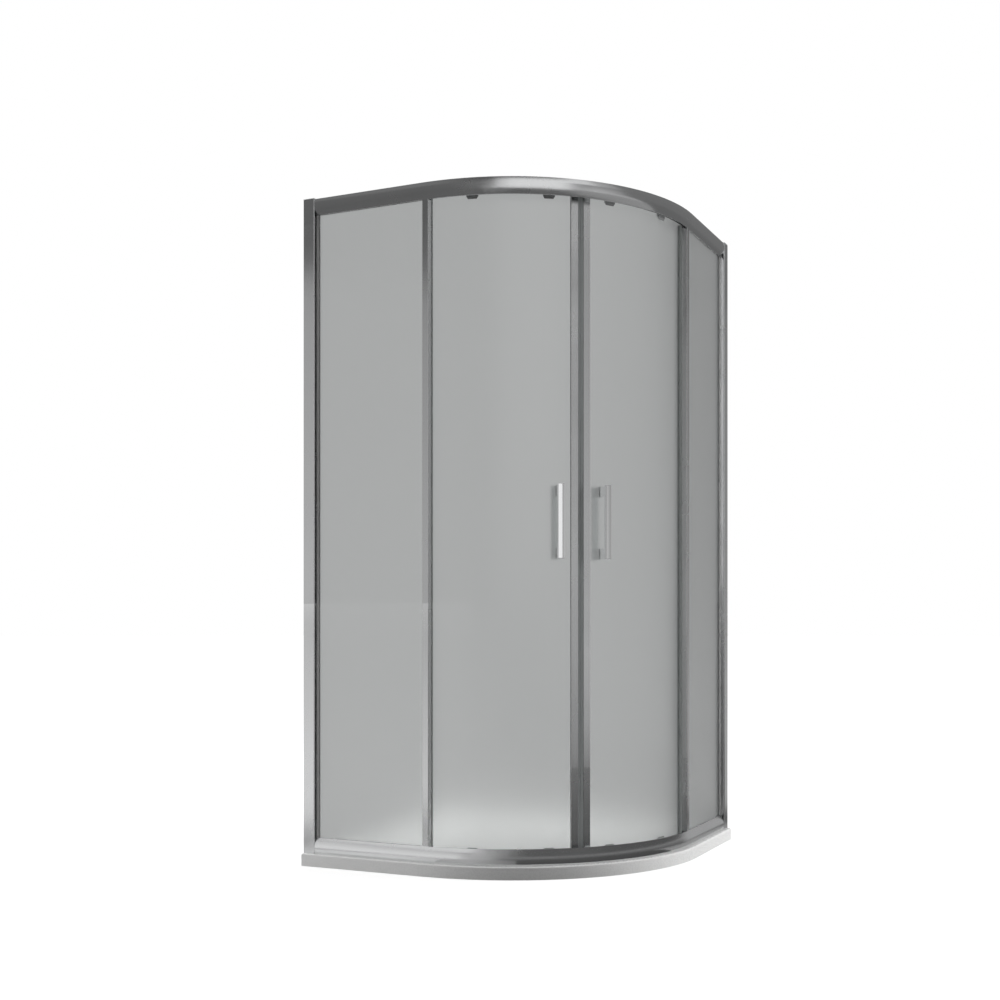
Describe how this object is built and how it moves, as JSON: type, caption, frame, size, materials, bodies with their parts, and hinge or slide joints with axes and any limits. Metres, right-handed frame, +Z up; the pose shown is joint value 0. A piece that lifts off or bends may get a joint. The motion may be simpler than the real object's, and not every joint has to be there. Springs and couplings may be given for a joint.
{
  "type": "quadrant shower enclosure",
  "caption": "Corner shower enclosure with a low tray, frosted flat side panes and curved frosted sliding doors on metal rails, opened by bar handles.",
  "frame": {"origin": "on the floor, under the centre of the tray's square footprint", "axes": "+Z up; the wall corner is at -X, +Y; the rounded corner with the doors is at +X, -Y; the left wall is the plane X = -0.5 m and the back wall the plane Y = +0.5 m"},
  "size_m": [1, 1, 1.936],
  "materials": {
    "tray": "glossy white cast resin",
    "drain_cover": "polished",
    "rail": "polished silver",
    "profile": "polished silver",
    "post": "polished silver",
    "cap": "silver grey",
    "screw": "satin",
    "block": "dark",
    "stop": "matt",
    "fixed_glass": "frosted",
    "door_glass": "frosted",
    "gasket": "matt",
    "magnet_seal": "translucent grey",
    "rear_seal": "translucent",
    "handle": "polished",
    "washer": "translucent",
    "bracket": "polished",
    "axle": "satin",
    "roller": "natural white"
  },
  "bodies": {
    "frame": {"shower_tray": "tray", "drain_cover": "drain_cover", "top_rail": "rail", "bottom_rail": "rail", "rail_screws": "screw", "adjuster_screws": "screw", "screw_caps": "cap", "setting_blocks": "block", "door_stops": "stop", "left_wall_profile": "profile", "left_profile_cap": "cap", "left_adjuster_profile": "profile", "left_fixed_glass": "fixed_glass", "left_glazing_gasket": "gasket", "left_fixed_post": "post", "right_wall_profile": "profile", "right_profile_cap": "cap", "right_adjuster_profile": "profile", "right_fixed_glass": "fixed_glass", "right_glazing_gasket": "gasket", "right_fixed_post": "post"},
    "left_door": {"left_door_glass": "door_glass", "left_front_profile": "post", "left_magnet_seal": "magnet_seal", "left_rear_seal": "rear_seal", "left_outer_handle": "handle", "left_inner_handle": "handle", "left_handle_washers": "washer", "left_handle_studs": "screw", "left_bracket_clamps": "bracket", "left_bracket_screws": "screw", "left_roller_axles": "axle", "left_front_top_bracket": "bracket", "left_rear_top_bracket": "bracket", "left_front_bottom_bracket": "bracket", "left_rear_bottom_bracket": "bracket"},
    "left_front_top_roller": {"left_front_top_wheel": "roller"},
    "left_rear_top_roller": {"left_rear_top_wheel": "roller"},
    "left_front_bottom_roller": {"left_front_bottom_wheel": "roller"},
    "left_rear_bottom_roller": {"left_rear_bottom_wheel": "roller"},
    "right_door": {"right_door_glass": "door_glass", "right_front_profile": "post", "right_magnet_seal": "magnet_seal", "right_rear_seal": "rear_seal", "right_outer_handle": "handle", "right_inner_handle": "handle", "right_handle_washers": "washer", "right_handle_studs": "screw", "right_bracket_clamps": "bracket", "right_bracket_screws": "screw", "right_roller_axles": "axle", "right_front_top_bracket": "bracket", "right_rear_top_bracket": "bracket", "right_front_bottom_bracket": "bracket", "right_rear_bottom_bracket": "bracket"},
    "right_front_top_roller": {"right_front_top_wheel": "roller"},
    "right_rear_top_roller": {"right_rear_top_wheel": "roller"},
    "right_front_bottom_roller": {"right_front_bottom_wheel": "roller"},
    "right_rear_bottom_roller": {"right_rear_bottom_wheel": "roller"}
  },
  "joints": [
    {"name": "left_door_slide", "type": "hinge", "parent": "frame", "child": "left_door", "pos_m": [-0.14064, 0.20431, 1], "axis": [0, 0, -1], "range_deg": [0, 23.2]},
    {"name": "left_front_top_roll", "type": "hinge", "parent": "left_door", "child": "left_front_top_roller", "pos_m": [0.21845, -0.35121, 1.9148], "axis": [0.5808, -0.8141, 0], "continuous": true},
    {"name": "left_rear_top_roll", "type": "hinge", "parent": "left_door", "child": "left_rear_top_roller", "pos_m": [0.02177, -0.44105, 1.9148], "axis": [0.2351, -0.972, 0], "continuous": true},
    {"name": "left_front_bottom_roll", "type": "hinge", "parent": "left_door", "child": "left_front_bottom_roller", "pos_m": [0.21845, -0.35121, 0.0547], "axis": [0.5808, -0.8141, 0], "continuous": true},
    {"name": "left_rear_bottom_roll", "type": "hinge", "parent": "left_door", "child": "left_rear_bottom_roller", "pos_m": [0.02177, -0.44105, 0.0547], "axis": [0.2351, -0.972, 0], "continuous": true},
    {"name": "right_door_slide", "type": "hinge", "parent": "frame", "child": "right_door", "pos_m": [-0.20431, 0.14064, 1], "axis": [0, 0, 1], "range_deg": [0, 23.2]},
    {"name": "right_front_top_roll", "type": "hinge", "parent": "right_door", "child": "right_front_top_roller", "pos_m": [0.35121, -0.21845, 1.9148], "axis": [0.8141, -0.5808, 0], "continuous": true},
    {"name": "right_rear_top_roll", "type": "hinge", "parent": "right_door", "child": "right_rear_top_roller", "pos_m": [0.44105, -0.02177, 1.9148], "axis": [0.972, -0.2351, 0], "continuous": true},
    {"name": "right_front_bottom_roll", "type": "hinge", "parent": "right_door", "child": "right_front_bottom_roller", "pos_m": [0.35121, -0.21845, 0.0547], "axis": [0.8141, -0.5808, 0], "continuous": true},
    {"name": "right_rear_bottom_roll", "type": "hinge", "parent": "right_door", "child": "right_rear_bottom_roller", "pos_m": [0.44105, -0.02177, 0.0547], "axis": [0.972, -0.2351, 0], "continuous": true}
  ],
  "couplings": [
    {"joint": "left_front_top_roll", "follows": "left_door_slide", "ratio": 69.556},
    {"joint": "left_rear_top_roll", "follows": "left_door_slide", "ratio": 70.048},
    {"joint": "left_front_bottom_roll", "follows": "left_door_slide", "ratio": -69.556},
    {"joint": "left_rear_bottom_roll", "follows": "left_door_slide", "ratio": -70.048},
    {"joint": "right_front_top_roll", "follows": "right_door_slide", "ratio": -69.556},
    {"joint": "right_rear_top_roll", "follows": "right_door_slide", "ratio": -70.048},
    {"joint": "right_front_bottom_roll", "follows": "right_door_slide", "ratio": 69.556},
    {"joint": "right_rear_bottom_roll", "follows": "right_door_slide", "ratio": 70.048}
  ]
}
